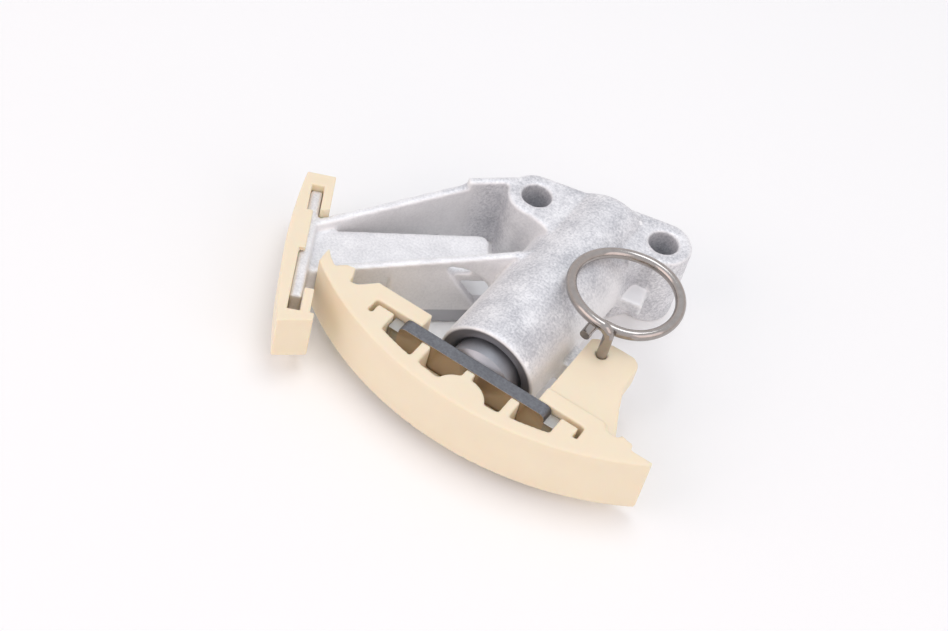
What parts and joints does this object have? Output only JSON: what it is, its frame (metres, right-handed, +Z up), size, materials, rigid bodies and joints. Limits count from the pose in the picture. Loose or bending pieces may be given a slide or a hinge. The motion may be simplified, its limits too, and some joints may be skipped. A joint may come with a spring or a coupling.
{
  "type": "timing chain tensioner",
  "caption": "Hydraulic chain tensioner: bolt-on cast housing with a ribbed arm and guide shoe, a sprung plunger behind a curved plastic slider, and a wire pull pin.",
  "frame": {"origin": "midway between the two bolt holes, on the flat mounting face", "axes": "+Z up the bolt holes away from the mounting face, -Y the way the plunger pushes, +X to the right of it seen from above"},
  "size_m": [0.1004, 0.08, 0.0259],
  "materials": {
    "cast_aluminium": "as die cast, fine grain",
    "cream_plastic": "moulded, smooth",
    "dark_plastic": "moulded",
    "steel_sheet": "stamped and tumbled",
    "ground_steel": "hardened and ground",
    "spring_steel": "drawn wire",
    "bright_wire": "bright drawn wire"
  },
  "bodies": {
    "casting": {"housing": "cast_aluminium", "valve_seat": "ground_steel", "valve_cage": "steel_sheet", "valve_spring": "spring_steel", "plunger_spring": "spring_steel", "guide_shoe": "cream_plastic"},
    "slider": {"plunger": "ground_steel", "push_plate": "steel_sheet", "slider_shoe": "cream_plastic", "spring_core": "dark_plastic"},
    "pin": {"lock_pin": "bright_wire"},
    "check_ball": {"valve_ball": "ground_steel"}
  },
  "joints": [
    {"name": "plunger_slide", "type": "slide", "parent": "casting", "child": "slider", "axis": [0, -1, 0], "range_m": [0, 0.003], "deforming": ["plunger_spring"]},
    {"name": "lock_pin_pull", "type": "slide", "parent": "slider", "child": "pin", "axis": [0, 0, 1], "range_m": [0, 0.02]},
    {"name": "check_ball_lift", "type": "slide", "parent": "casting", "child": "check_ball", "axis": [0, -1, 0], "range_m": [0, 0.0008], "stiffness_N_per_m": 20, "deforming": ["valve_spring"]}
  ]
}
